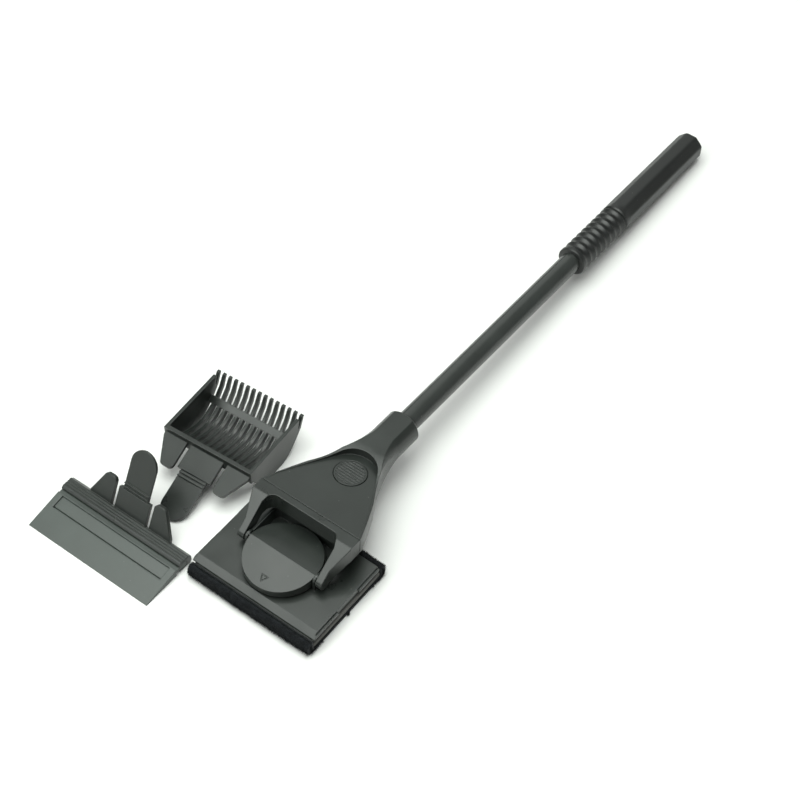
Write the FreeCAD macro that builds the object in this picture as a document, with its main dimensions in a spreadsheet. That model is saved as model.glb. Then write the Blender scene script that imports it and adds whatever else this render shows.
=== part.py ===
import FreeCAD, Part
import math
import os
import re

import Sketcher
from FreeCAD import Placement, Rotation, Vector

# Algae scraper set: a long handle whose wide, flat socket head takes one of three plug-in tools by a
# springy tongue.  The swivelling fleece pad is plugged in; the scraper blade and the plant rake lie
# beside it.  Row frame: +Z up from the table, +Y from the pad towards the grip, origin under the
# middle of the whole set.  Lengths are in millimetres, angles in degrees.
SIZES = {
    # where things lie on the table
    "tool_x": 42.7, "hinge_y": -164.4, "hinge_height": 18.2, "handle_tilt": 2.99,
    "blade_x": -41.3, "blade_y": -219.0, "rake_x": -29.6, "rake_y": -138.2, "rake_yaw": 3.5,
    # handle frame: origin on the tube's axis at the head's front face
    "hinge_back": 21.6, "hinge_drop": 9.98,
    "tube_radius": 6.0, "tube_wall": 1.0, "tube_start": 56.0, "tube_end": 322.0,
    "grip_start": 231.8, "grip_end": 361.47, "grip_across": 16.6, "collar_length": 46.0,
    "collar_radius": 8.65, "rib_pitch": 5.0, "rib_depth": 0.9, "grip_round": 2.6, "grip_edge": 1.4,
    "plug_flange": 1.5, "plug_shank": 9.0, "plug_gap": 0.05,
    # socket head
    "head_length": 77.2, "head_half_wide": 31.07, "neck_radius": 9.75, "neck_flat": 8.0,
    "face_height": 7.0, "face_slope": 0.1, "face_border": 1.8, "face_top": 45.5, "face_arc": 13.5,
    "slot_low": -1.7, "slot_high": 1.1, "slot_half_wide": 28.2, "slot_deep": 17.0,
    "slot_shoulder": 0.5, "slot_end_half": 20.6,
    "leaf_slot_half": 9.0, "leaf_slot_deep": 41.0,
    "button_y": 31.8, "button_radius": 8.6, "button_gap": 0.3, "button_flange": 1.0,
    "button_proud": 0.3, "button_pocket": 2.1, "button_foot": 1.2, "groove_count": 9.0,
    "groove_pitch": 1.7, "groove_half": 0.35, "groove_reach": 7.4, "groove_low": 0.1,
    "screw_side_x": 14.5, "screw_side_y": 23.5, "screw_mid_y": 48.0, "screw_tube_y": 67.0,
    "screw_radius": 1.1, "screw_head_radius": 2.2, "screw_head_thick": 1.5,
    "side_seat": -2.6, "side_tip": 3.0, "mid_seat": -4.6, "mid_tip": 5.0, "tube_seat": -7.4,
    "tube_tip": -4.0,
    # plug-in tongue that all three tools share
    "tongue_half": 10.5, "tongue_base": 12.0, "tongue_low": -1.4, "tongue_thick": 2.2,
    "leaf_half": 8.25, "leaf_reach": 38.0, "leaf_thick": 1.4, "ridge_wide": 0.8, "ridge_gap": 2.0,
    "wing_in": 13.0, "wing_out": 27.2, "wing_tip_out": 20.0, "wing_reach": 15.0, "wing_round": 2.6,
    # swivel fork
    "seam_gap": 0.3, "fork_top": 7.08, "fork_low": -3.3, "bar_front": 6.9, "yoke_deep": 4.0,
    "leg_in": 22.8, "leg_out": 26.6, "leg_tip_radius": 3.4, "yoke_inner": 20.2, "yoke_corner": 4.4,
    "leg_start": 10.0, "bar_low_front": 7.5,
    # pad head, measured from the hinge line
    "pad_half": 39.0, "cover_front": 20.6, "cover_back": 27.0, "cover_top": 12.0, "cover_low": 9.0,
    "bevel_run": 3.6, "rim_step": 0.9, "rim_height": 10.5, "notch_front": 5.0, "notch_back": 11.0,
    "hub_half": 22.3, "hub_wall": 1.4, "hub_back": 22.6, "hub_top": 20.0, "hub_corner": 5.0,
    "ear_radius": 3.1, "pin_radius": 1.6, "pin_in": 17.4, "pin_out": 25.4, "pin_gap": 0.05,
    "disc_radius": 20.55, "disc_ridge": 20.2, "disc_front": 17.0, "disc_back": 17.5,
    "disc_low": 13.6, "disc_wall": 2.0, "hook_front": 12.4, "hook_back": 10.6, "hook_half": 4.5,
    "hook_low": 4.3, "hook_tooth": 1.4, "slot_half": 5.2, "cover_slot_front": 14.6,
    "cover_slot_back": 9.0, "base_window_front": 14.3, "base_window_back": 9.0,
    "base_half": 37.4, "base_front": 24.4, "base_back": 28.6, "base_low": 5.6, "base_thick": 2.6,
    "foam_low": 2.4, "fleece_front": 29.4, "fleece_back": 33.0,
    "fleece_top": 8.7, "clamp_wide": 3.0, "clamp_thick": 0.6,
    "spring_y": -6.2, "spring_radius": 2.0, "spring_wire": 0.35, "spring_turns": 3.0,
    "spring_top": 17.0,
    # scraper blade, measured from its edge
    "blade_half": 40.4, "blade_deep": 22.6, "blade_rise": 4.7, "edge_thick": 0.35,
    "blade_pocket_front": 14.3, "blade_pocket_back": 21.9, "blade_border": 3.6,
    "blade_groove": 1.1, "window_deep": 1.1, "groove_deep": 1.8, "bead_y": 28.4, "bead_z": 3.1,
    "bead_radius": 2.0, "web_low": 2.3, "web_thick": 1.6, "bead_gap": 0.25,
    "hood_front": 25.0, "hood_back": 34.0, "hood_top": 6.4, "blade_tongue_y": 32.6,
    "blade_tongue_z": 4.2, "blade_tongue_angle": 62.0,
    # plant rake, measured from its front bar
    "rake_half": 28.0, "cheek_thick": 1.9, "rake_top": 20.0, "bar_deep": 2.4, "bar_drop": 8.0,
    "tine_count": 15.0, "tine_gap": 1.95,
    "rake_tongue_z": 16.4, "rake_tongue_angle": 22.4,
}

doc = FreeCAD.newDocument("AlgaeScraper")
sheet = doc.addObject("Spreadsheet::Sheet", "Sizes")
for row, (alias, number) in enumerate(SIZES.items(), 1):
    sheet.set(f"A{row}", alias)
    sheet.set(f"B{row}", str(number))
    sheet.setAlias(f"B{row}", alias)
doc.recompute()


def bound(expression):
    """The expression as other objects write it, with Sizes. before each cell's name."""
    return re.sub(r"[a-z][a-z_]+", lambda m: f"Sizes.{m[0]}" if m[0] in SIZES else m[0], expression)


def size(expression):
    """The value of an expression in the sheet's names."""
    return float(sheet.evalExpression(expression))


# ---------------------------------------------------------------- placements
TILT = size("handle_tilt")
HINGE = Vector(size("tool_x"), size("hinge_y"), size("hinge_height"))
TIPPED = Rotation(Vector(1, 0, 0), -TILT)
SEAM = HINGE - TIPPED.multVec(Vector(0, -size("hinge_back"), -size("hinge_drop")))
HANDLE = Placement(SEAM, TIPPED)
ALONG = Placement(SEAM, Rotation(Vector(1, 0, 0), -TILT - 90))
PAD = Placement(Vector(HINGE.x, HINGE.y, 0), Rotation())
BLADE = Placement(Vector(size("blade_x"), size("blade_y"), 0), Rotation())
RAKE = Placement(
    Vector(size("rake_x"), size("rake_y"), 0), Rotation(Vector(0, 0, 1), size("rake_yaw"))
)

PARTS = []


def keep(item, label, placement):
    """Names a finished sub-part, puts it in its place and lists it for export."""
    item.Label = label
    item.Placement = placement
    PARTS.append(item)
    return item


# ---------------------------------------------------------------- sketches and features
def new_body(label, placement):
    return keep(doc.addObject("PartDesign::Body", label), label, placement)


def sketch_on(body, role, offset="0"):
    """An empty sketch on one of the body's own origin planes, lifted along the plane's normal."""
    origin_plane = next(f for f in body.Origin.OriginFeatures if f.Role == role)
    sketch = body.newObject("Sketcher::SketchObject", f"{body.Name}_sketch")
    sketch.AttachmentSupport = [(origin_plane, "")]
    sketch.MapMode = "FlatFace"
    sketch.setExpression("AttachmentOffset.Base.z", bound(offset))
    return sketch


def outline(sketch, corners):
    """A closed run of straight lines, each corner tied to the sheet by an expression pair."""
    first = sketch.GeometryCount
    places = [Vector(size(x), size(y), 0) for x, y in corners]
    total = len(places)
    for start, end in zip(places, places[1:] + places[:1]):
        sketch.addGeometry(Part.LineSegment(start, end), False)
    for index, (x, y) in enumerate(corners):
        line, following = first + index, first + (index + 1) % total
        sketch.addConstraint(Sketcher.Constraint("Coincident", line, 2, following, 1))
        for kind, text, value in (("X", x, places[index].x), ("Y", y, places[index].y)):
            number = sketch.addConstraint(
                Sketcher.Constraint(f"Distance{kind}", -1, 1, line, 1, value)
            )
            name = f"corner{line}{kind}"
            sketch.renameConstraint(number, name)
            sketch.setExpression(f"Constraints.{name}", bound(text))
    return sketch


def rectangle(sketch, low_x, high_x, low_y, high_y):
    return outline(
        sketch, [(low_x, low_y), (high_x, low_y), (high_x, high_y), (low_x, high_y)]
    )


def circle(sketch, x, y, radius):
    """A circle tied to the sheet by its centre and radius."""
    centre = Vector(size(x), size(y), 0)
    ring = sketch.addGeometry(Part.Circle(centre, Vector(0, 0, 1), size(radius)), False)
    for kind, text, value in (("DistanceX", x, centre.x), ("DistanceY", y, centre.y)):
        number = sketch.addConstraint(Sketcher.Constraint(kind, -1, 1, ring, 3, value))
        sketch.renameConstraint(number, f"centre{ring}{kind}")
        sketch.setExpression(f"Constraints.centre{ring}{kind}", bound(text))
    number = sketch.addConstraint(Sketcher.Constraint("Radius", ring, size(radius)))
    sketch.renameConstraint(number, f"radius{ring}")
    sketch.setExpression(f"Constraints.radius{ring}", bound(radius))
    return sketch


def extrude(body, kind, sketch, length, side="One side", reverse=False):
    """A Pad or a Pocket of a sketch, checked by the volume it adds or takes."""
    doc.recompute()
    before = body.Shape.Volume if not body.Shape.isNull() else 0.0
    feature = body.newObject(f"PartDesign::{kind}", f"{body.Name}_{kind.lower()}")
    feature.Profile = sketch
    feature.SideType = side
    feature.Reversed = reverse
    feature.setExpression("Length", bound(length))
    sketch.Visibility = False
    doc.recompute()
    change = body.Shape.Volume - before
    if (kind == "Pad") != (change > 1e-6):
        raise RuntimeError(f"{feature.Name} changed the volume by {change:.3f}")
    return feature


def made(label, shape, placement):
    """A sub-part whose shape is worked out with Part's own functions."""
    feature = doc.addObject("Part::Feature", label)
    feature.Shape = shape
    return keep(feature, label, placement)


def prism(corners, axis, length, start):
    """A straight-sided solid: corners in the plane across axis, carried along it."""
    along = {"X": Vector(1, 0, 0), "Y": Vector(0, 1, 0), "Z": Vector(0, 0, 1)}[axis]
    spots = {
        "X": lambda a, b: Vector(start, a, b),
        "Y": lambda a, b: Vector(a, start, b),
        "Z": lambda a, b: Vector(a, b, start),
    }[axis]
    loop = [spots(a, b) for a, b in corners]
    return Part.Face(Part.makePolygon(loop + loop[:1])).extrude(along * length)


def block(x0, x1, y0, y1, z0, z1):
    return Part.makeBox(x1 - x0, y1 - y0, z1 - z0, Vector(x0, y0, z0))


def cylinder(radius, start, end):
    return Part.makeCylinder(radius, (end - start).Length, start, end - start)


# ---------------------------------------------------------------- handle: tube, plugs, grip
def build_tube():
    tube = new_body("handle_tube", ALONG)
    ring = circle(sketch_on(tube, "XY_Plane", "tube_start"), "0", "0", "tube_radius")
    circle(ring, "0", "0", "tube_radius - tube_wall")
    extrude(tube, "Pad", ring, "tube_end - tube_start")
    # the neck screw bites into the tube's lower wall, on the +Y side of this frame
    hole = circle(sketch_on(tube, "XZ_Plane"), "0", "screw_tube_y", "screw_radius + 0.05")
    extrude(tube, "Pocket", hole, "tube_radius + 1")


def build_plug(label, flange_low, shank_low):
    plug = new_body(label, ALONG)
    flange = circle(sketch_on(plug, "XY_Plane", flange_low), "0", "0", "tube_radius")
    extrude(plug, "Pad", flange, "plug_flange")
    shank = circle(
        sketch_on(plug, "XY_Plane", shank_low), "0", "0", "tube_radius - tube_wall - plug_gap"
    )
    extrude(plug, "Pad", shank, "plug_shank")


def build_grip():
    """Moulded grip: a ribbed round collar, then an eight-sided hand piece."""
    across = size("grip_across") / 2
    facet = across * math.tan(math.radians(22.5))
    eight = [
        (across, facet), (facet, across), (-facet, across), (-across, facet),
        (-across, -facet), (-facet, -across), (facet, -across), (across, -facet),
    ]
    start, end = size("grip_start"), size("grip_end")
    ribs_end = start + size("collar_length")
    hand = prism(eight, "Z", end - ribs_end + 1.0, ribs_end - 1.0)
    hand = hand.makeFillet(size("grip_edge"), [e for e in hand.Edges if e.BoundBox.ZLength > 10])
    rounded = [e for e in hand.Edges if e.BoundBox.ZMin > end - 0.5]
    hand = hand.makeFillet(size("grip_round"), rounded)
    # collar profile: a rounded mouth flange and shallow V grooves between the ribs
    radius, depth, pitch = size("collar_radius"), size("rib_depth"), size("rib_pitch")
    profile = [(0, start), (radius - 0.8, start), (radius, start + 0.8), (radius, start + 2.6)]
    groove = start + 2.6
    while groove + pitch < ribs_end:
        profile += [
            (radius - depth, groove + 1.0), (radius - depth, groove + 1.8),
            (radius, groove + 2.8), (radius, groove + pitch),
        ]
        groove += pitch
    profile += [(radius - depth, ribs_end), (0, ribs_end)]
    loop = [Vector(x, 0, z) for x, z in profile]
    collar = Part.Face(Part.makePolygon(loop + loop[:1])).revolve(
        Vector(0, 0, 0), Vector(0, 0, 1), 360
    )
    grip = hand.fuse(collar)
    bore = cylinder(
        size("tube_radius") + 0.03, Vector(0, 0, start - 1),
        Vector(0, 0, size("tube_end + plug_flange + 0.4"))
    )
    made("grip", grip.cut(bore).removeSplitter(), ALONG)


# ---------------------------------------------------------------- socket head
def smooth(points):
    """A smooth edge through points."""
    curve = Part.BSplineCurve()
    curve.interpolate(points)
    return curve.toShape()


def head_body():
    """Outer shape of the head: its plan, its side view and a round envelope, all intersected."""
    half, neck, far = size("head_half_wide"), size("neck_radius"), size("head_length")
    flank = [(half, 0), (30.0, 6), (23.4, 20), (17.0, 31), (12.6, 41), (10.4, 50), (neck, 60)]
    right = [Vector(x, y, -20) for x, y in flank]
    left = [Vector(-p.x, p.y, p.z) for p in reversed(right)]
    ends = [Vector(neck, far + 1, -20), Vector(-neck, far + 1, -20)]
    plan = Part.Face(Part.Wire([
        smooth(right), Part.LineSegment(right[-1], ends[0]).toShape(),
        Part.LineSegment(ends[0], ends[1]).toShape(),
        Part.LineSegment(ends[1], left[0]).toShape(), smooth(left),
        Part.LineSegment(left[-1], right[0]).toShape(),
    ])).extrude(Vector(0, 0, 40))
    flat = size("neck_flat")
    crown = [(0, 7.1), (14, 6.1), (26, 5.4), (34, 5.5), (42, 6.9), (50, flat)]
    keel = [(0, -3.3), (18, -4.1), (32, -5.2), (44, -7.6), (58, -neck)]
    over = [Vector(-40, y, z) for y, z in crown]
    under = [Vector(-40, y, z) for y, z in reversed(keel)]
    tail = [Vector(-40, far + 1, flat), Vector(-40, far + 1, -neck)]
    side = Part.Face(Part.Wire([
        smooth(over), Part.LineSegment(over[-1], tail[0]).toShape(),
        Part.LineSegment(tail[0], tail[1]).toShape(),
        Part.LineSegment(tail[1], under[0]).toShape(), smooth(under),
        Part.LineSegment(under[-1], over[0]).toShape(),
    ])).extrude(Vector(80, 0, 0))
    swell = [(neck, 60), (10.9, 52), (13.4, 43), (18.5, 31), (25.4, 16), (half + 1.2, -1)]
    envelope = Part.Face(Part.Wire([
        smooth([Vector(x, y, 0) for x, y in reversed(swell)]),
        Part.LineSegment(Vector(neck, 60, 0), Vector(neck, far - 1.2, 0)).toShape(),
        Part.LineSegment(Vector(neck, far - 1.2, 0), Vector(neck - 1.2, far, 0)).toShape(),
        Part.LineSegment(Vector(neck - 1.2, far, 0), Vector(0, far, 0)).toShape(),
        Part.LineSegment(Vector(0, far, 0), Vector(0, -1, 0)).toShape(),
        Part.LineSegment(Vector(0, -1, 0), Vector(half + 1.2, -1, 0)).toShape(),
    ])).revolve(Vector(0, 0, 0), Vector(0, 1, 0), 360)
    return plan.common(side).common(envelope)


def face_height(y):
    """Height of the sloping top face at a distance behind the seam."""
    return size("face_height") - size("face_slope") * y


def above_face(lift=0.0):
    """A wedge that fills everything above the sloping top face."""
    far = size("head_length")
    return prism(
        [(-2, face_height(-2) + lift), (far, face_height(far) + lift), (far, 30), (-2, 30)],
        "X", 80, -40,
    )


def face_area():
    """Plan of the sunk top face: the fan's outline drawn in by the border, round at the neck."""
    border, top = size("face_border"), size("face_top")
    half = size("head_half_wide") - border
    side = [(half, -2), (half, 1.0), (27.6, 8.0), (21.7, 20.0), (17.2, 28.5), (12.0, 38.3)]
    plan = Part.makePolygon(
        [Vector(x, y, -1) for x, y in side]
        + [Vector(-x, y, -1) for x, y in reversed(side)]
        + [Vector(side[0][0], side[0][1], -1)]
    )
    fan = Part.Face(plan).extrude(Vector(0, 0, 30))
    radius = size("face_arc")
    arc = cylinder(radius, Vector(0, top - radius, -1), Vector(0, top - radius, 29))
    return fan.fuse(arc)


def socket_hollow():
    """Room for the tube, the tongue, its springy leaf and its two wings.

    The mouth narrows with the wings, so that it keeps a wall on both flanks.
    """
    low, high = size("slot_low"), size("slot_high")
    wide, end_wide = size("slot_half_wide"), size("slot_end_half")
    shoulder, deep = size("slot_shoulder"), size("slot_deep")
    mouth = prism(
        [(-wide, -1), (wide, -1), (wide, shoulder), (end_wide, deep), (-end_wide, deep),
         (-wide, shoulder)],
        "Z", high - low, low,
    )
    leaf = size("leaf_slot_half")
    end = size("leaf_slot_deep")
    leaf_slot = block(-leaf, leaf, -1, end, low, high)
    tube = cylinder(
        size("tube_radius") + 0.02, Vector(0, size("tube_start"), 0),
        Vector(0, size("head_length") + 1, 0),
    )
    plug_room = cylinder(
        size("tube_radius") + 0.02,
        Vector(0, size("tube_start - plug_flange - 0.2"), 0), Vector(0, size("tube_start"), 0),
    )
    return mouth.fuse([leaf_slot, tube, plug_room])


def screw_spots():
    """Centre, head seat and tip height of each self-tapping screw."""
    side_x = size("screw_side_x")
    side = (size("screw_side_y"), size("side_seat"), size("side_tip"))
    return [
        (side_x, *side), (-side_x, *side),
        (0.0, size("screw_mid_y"), size("mid_seat"), size("mid_tip")),
        (0.0, size("screw_tube_y"), size("tube_seat"), size("tube_tip")),
    ]


def screw_room(x, y, seat, tip):
    """Stepped hole for one screw: its shank, and the well its head sits in."""
    shank, well = size("screw_radius"), size("screw_head_radius") + 0.2
    profile = [(0, -20), (well, -20), (well, seat), (shank, seat), (shank, tip), (0, tip)]
    loop = [Vector(x + across, y, up) for across, up in profile]
    face = Part.Face(Part.makePolygon(loop + loop[:1]))
    return face.revolve(Vector(x, y, 0), Vector(0, 0, 1), 360)


def build_head():
    shell = head_body()
    sunk = face_area().common(above_face())
    hollow = socket_hollow()
    button_x, button_y = 0.0, size("button_y")
    well = cylinder(
        size("button_radius + button_gap"), Vector(button_x, button_y, 0),
        Vector(button_x, button_y, 20),
    )
    pocket = cylinder(
        size("button_radius + button_gap + button_flange"), Vector(button_x, button_y, 0),
        Vector(button_x, button_y, size("button_pocket")),
    )
    solid = shell.cut(sunk).cut(hollow)
    upper = solid.common(block(-40, 40, -1, 90, 0, 20)).cut(well).cut(pocket)
    lower = solid.common(block(-40, 40, -1, 90, -20, 0))
    bores = [screw_room(*spot) for spot in screw_spots()]
    made("head_upper_shell", upper.cut(bores), HANDLE)
    made("head_lower_shell", lower.cut(bores), HANDLE)


def build_screws():
    screws = []
    for x, y, seat, tip in screw_spots():
        head_low = seat - size("screw_head_thick")
        head = cylinder(size("screw_head_radius"), Vector(x, y, head_low), Vector(x, y, seat))
        shank = cylinder(size("screw_radius"), Vector(x, y, head_low), Vector(x, y, tip))
        cross = block(x - 1.3, x + 1.3, y - 0.25, y + 0.25, head_low - 1, head_low + 0.7)
        other = block(x - 0.25, x + 0.25, y - 1.3, y + 1.3, head_low - 1, head_low + 0.7)
        screws.append(head.fuse(shank).cut(cross).cut(other).removeSplitter())
    made("head_screws", Part.makeCompound(screws), HANDLE)


def build_button():
    """Round release button: a ribbed top parallel to the sloping face, and a flange below it."""
    y = size("button_y")
    stem = cylinder(size("button_radius"), Vector(0, y, size("button_foot")), Vector(0, y, 20))
    stem = stem.cut(above_face(size("button_proud")))
    flange = cylinder(
        size("button_radius + button_flange - 0.1"), Vector(0, y, size("button_foot")),
        Vector(0, y, size("button_pocket - 0.1")),
    )
    button = stem.fuse(flange)
    count, reach, half = int(size("groove_count")), size("groove_reach"), size("groove_half")
    inside = cylinder(reach, Vector(0, y, 0), Vector(0, y, 20))
    for index in range(count):
        across = y + (index - (count - 1) / 2) * size("groove_pitch")
        floor = face_height(across) - size("groove_low")
        groove = block(-reach, reach, across - half, across + half, floor, 20)
        button = button.cut(groove.common(inside))
    made("latch_button", button.removeSplitter(), HANDLE)


# ---------------------------------------------------------------- the shared plug-in tongue
def tongue():
    """Tongue and wings in their own frame: +Y into the socket, root at y = 0."""
    low, base = size("tongue_low"), size("tongue_base")
    half, leaf = size("tongue_half"), size("leaf_half")
    root = -2.0
    high = low + size("tongue_thick")
    plate = block(-half, half, root, base, low, high)
    reach = size("leaf_reach")
    blade = block(-leaf, leaf, base - 0.1, reach - leaf, low, low + size("leaf_thick"))
    tip = cylinder(
        leaf, Vector(0, reach - leaf, low), Vector(0, reach - leaf, low + size("leaf_thick"))
    )
    pieces = [blade, tip]
    for step in (0, 1):
        ridge_y = base + size("ridge_gap") * (0.5 + step)
        pieces.append(block(-leaf, leaf, ridge_y, ridge_y + size("ridge_wide"), low, high))
    for side in (-1, 1):
        corners = [
            (side * size("wing_in"), root), (side * size("wing_in"), size("wing_reach")),
            (side * size("wing_tip_out"), size("wing_reach")),
            (side * size("wing_out"), 0.5), (side * size("wing_out"), root),
        ]
        wing = prism(corners, "Z", high - low, low)
        tips = [e for e in wing.Edges if e.BoundBox.ZLength > 1 and e.BoundBox.YMin > base]
        pieces.append(wing.makeFillet(size("wing_round"), tips))
    return plate.fuse(pieces).removeSplitter()


def build_fork():
    """Swivel fork: cross-bar behind the seam, two legs that drop to the hinge, and the tongue."""
    gap, top, low = size("seam_gap"), size("fork_top"), size("fork_low")
    back, drop = size("hinge_back"), size("hinge_drop")
    tip = size("leg_tip_radius")
    half = size("head_half_wide")
    front = size("bar_front")
    side = prism(
        [
            (-gap, top), (-front, top), (-back - tip * 0.655, -drop + tip * 0.756),
            (-back, -drop), (-back + tip * 0.51, -drop - tip * 0.86),
            (-size("bar_low_front"), low), (-gap, low),
        ],
        "X", 2 * half, -half,
    )
    boss = cylinder(tip, Vector(-half, -back, -drop), Vector(half, -back, -drop))
    body = side.fuse(boss)
    inner, leg_in, leg_out = size("yoke_inner"), size("leg_in"), size("leg_out")
    start, deep = size("leg_start"), size("yoke_deep")
    opening = prism(
        [(-inner, -deep), (inner, -deep), (leg_in, -start), (leg_in, -40), (-leg_in, -40),
         (-leg_in, -start)],
        "Z", 60, -30,
    )
    corners = [
        e for e in opening.Edges if e.BoundBox.ZLength > 10 and e.BoundBox.YMin > -deep - 0.1
    ]
    body = body.cut(opening.makeFillet(size("yoke_corner"), corners))
    for sign in (-1, 1):
        outside = prism(
            [(sign * (half + 1), -7.5), (sign * half, -7.5), (sign * leg_out, -18.5),
             (sign * leg_out, -40), (sign * (half + 1), -40)],
            "Z", 60, -30,
        )
        body = body.cut(outside)
        pin_hole = cylinder(
            size("pin_radius + pin_gap"), Vector(sign * (leg_in - 1), -back, -drop),
            Vector(sign * size("pin_out + 0.3"), -back, -drop),
        )
        body = body.cut(pin_hole)
    made("swivel_fork", body.fuse(tongue()).removeSplitter(), HANDLE)


# ---------------------------------------------------------------- pad head
def rear_corners(solid):
    """The upright edges at the back of a block."""
    return [e for e in solid.Edges if e.BoundBox.ZLength > 5 and e.BoundBox.YMin > 10]


def build_cover():
    """Cover plate with a bevelled front, stepped side rims and the hub wall round the disc."""
    half, front, back = size("pad_half"), size("cover_front"), size("cover_back")
    top, low, run = size("cover_top"), size("cover_low"), size("bevel_run")
    plate = prism(
        [(-front - run, low), (-front, top), (back, top), (back, low)], "X", 2 * half, -half
    )
    step, rim = size("rim_step"), size("rim_height")
    for sign in (-1, 1):
        inner, outer = sorted((sign * (half - step), sign * (half + 1)))
        plate = plate.cut(block(inner, outer, -40, 40, rim, 30))
        inner, outer = sorted((sign * (half - step - 0.1), sign * (half + 1)))
        notch = block(inner, outer, -size("notch_front"), size("notch_back"), 0, rim + 0.1)
        plate = plate.cut(notch)
    hub_half, wall, hub_back = size("hub_half"), size("hub_wall"), size("hub_back")
    hub_top, corner = size("hub_top"), size("hub_corner")
    outside = block(-hub_half, hub_half, 0, hub_back, low, hub_top)
    inside = block(-hub_half + wall, hub_half - wall, -1, hub_back - wall, top, 40)
    outside = outside.makeFillet(corner, rear_corners(outside))
    inside = inside.makeFillet(corner - wall, rear_corners(inside))
    hub = outside.cut(inside)
    ear = size("ear_radius")
    height = size("hinge_height")
    for sign in (-1, 1):
        a, b = sorted((sign * (hub_half - wall), sign * hub_half))
        hub = hub.fuse(cylinder(ear, Vector(a, 0, height), Vector(b, 0, height)))
        hub = hub.fuse(block(a, b, -ear, ear, top - 0.5, height))
    cover = plate.fuse(hub)
    for sign in (-1, 1):
        cover = cover.cut(cylinder(
            size("pin_radius"), Vector(sign * 15, 0, height), Vector(sign * 30, 0, height)
        ))
    slot = size("slot_half")
    cover = cover.cut(block(
        -slot, slot, -size("cover_slot_front"), -size("cover_slot_back"), 0, 13
    ))
    made("pad_cover", cover.removeSplitter(), PAD)


def build_pins():
    pins = []
    height = size("hinge_height")
    for sign in (-1, 1):
        pins.append(cylinder(
            size("pin_radius"), Vector(sign * size("pin_in"), 0, height),
            Vector(sign * size("pin_out"), 0, height),
        ))
    made("hinge_pins", Part.makeCompound(pins), PAD)


def build_disc():
    """Rocking release disc: a shallow ridge along the hinge line, hollow below, with a hook."""
    radius, ridge = size("disc_radius"), size("disc_ridge")
    low, wall = size("disc_low"), size("disc_wall")
    roof = prism(
        [(-radius - 1, low), (-radius - 1, size("disc_front")), (0, ridge),
         (radius + 1, size("disc_back")), (radius + 1, low)],
        "X", 2 * radius + 2, -radius - 1,
    )
    outer = cylinder(radius, Vector(0, 0, low), Vector(0, 0, 30)).common(roof)
    room = prism(
        [(-radius, low - 1), (-radius, size("disc_front") - wall), (0, ridge - wall),
         (radius, size("disc_back") - wall), (radius, low - 1)],
        "X", 2 * radius, -radius,
    )
    inner = cylinder(radius - wall, Vector(0, 0, low - 1), Vector(0, 0, 30)).common(room)
    disc = outer.cut(inner)
    height = size("hinge_height")
    hook_front, hook_back, hook_half = size("hook_front"), size("hook_back"), size("hook_half")
    hook = block(-hook_half, hook_half, -hook_front, -hook_back, size("hook_low"), 17.0)
    tooth = block(
        -hook_half, hook_half, -hook_front - size("hook_tooth"), -hook_back,
        size("hook_low"), size("base_low") - 0.3,
    )
    disc = disc.fuse(hook.fuse(tooth))
    for sign in (-1, 1):
        a, b = sorted((sign * 16.6, sign * 20.0))
        lug = block(a, b, -2.9, 2.9, low, 19.4).common(
            cylinder(radius - 0.3, Vector(0, 0, low), Vector(0, 0, 30))
        )
        disc = disc.fuse(lug)
    for sign in (-1, 1):
        disc = disc.cut(cylinder(
            size("pin_radius + pin_gap"), Vector(sign * 16, 0, height),
            Vector(sign * 22, 0, height),
        ))
        flat = block(*sorted((sign * 20.6, sign * 22)), -5, 5, 0, 30)
        disc = disc.cut(flat)
    # engraved pointer near the front edge
    pointer = prism([(-2.2, -13.6), (2.2, -13.6), (0, -17.6)], "Z", 20, 10)
    inset = prism([(-1.4, -14.1), (1.4, -14.1), (0, -16.6)], "Z", 20, 10)
    slope = (ridge - size("disc_front")) / (radius + 1)
    skin = prism(
        [(-radius, ridge - slope * radius - 0.35), (0, ridge - 0.35), (0, 30), (-radius, 30)],
        "X", 10, -5,
    )
    disc = disc.cut(pointer.cut(inset).common(skin))
    made("release_disc", disc.removeSplitter(), PAD)


def build_disc_spring():
    """Small coil spring between the cover and the back half of the disc."""
    low, top = size("cover_top"), size("spring_top")
    wire, radius = size("spring_wire"), size("spring_radius")
    height = top - low - 2 * wire
    helix = Part.makeLongHelix(height / size("spring_turns"), height, radius)
    ring = Part.Wire([Part.makeCircle(wire, Vector(radius, 0, 0), Vector(0, 1, 0))])
    coil = Part.Wire(helix.Edges).makePipeShell([ring], True, True)
    coil.translate(Vector(0, size("spring_y"), low + wire))
    made("disc_spring", Part.makeCompound([coil]), PAD)


def build_base():
    """Carrier plate that the fleece is wrapped round, with a window for the disc's hook."""
    base = new_body("pad_base", PAD)
    plan = rectangle(
        sketch_on(base, "XY_Plane", "base_low"), "-base_half", "base_half", "-base_front",
        "base_back",
    )
    extrude(base, "Pad", plan, "base_thick")
    window = rectangle(
        sketch_on(base, "XY_Plane", "base_low"), "-slot_half", "slot_half",
        "-base_window_front", "-base_window_back",
    )
    extrude(base, "Pocket", window, "base_thick + 1", reverse=True)
    ribs = sketch_on(base, "XY_Plane", "base_low + base_thick")
    rectangle(ribs, "-base_half + 6", "base_half - 6", "base_back - 9", "base_back - 7.8")
    extrude(base, "Pad", ribs, "0.5")
    doc.recompute()


def build_foam():
    foam = new_body("foam_core", PAD)
    plan = rectangle(
        sketch_on(foam, "XY_Plane", "foam_low"), "-base_half - 0.8", "base_half + 0.8",
        "-base_front", "base_back",
    )
    extrude(foam, "Pad", plan, "base_low - foam_low")
    room = rectangle(
        sketch_on(foam, "XY_Plane", "foam_low + 0.6"), "-slot_half", "slot_half",
        "-base_window_front - 1.0", "-base_window_back + 0.6",
    )
    extrude(foam, "Pocket", room, "base_low", reverse=True)


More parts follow.
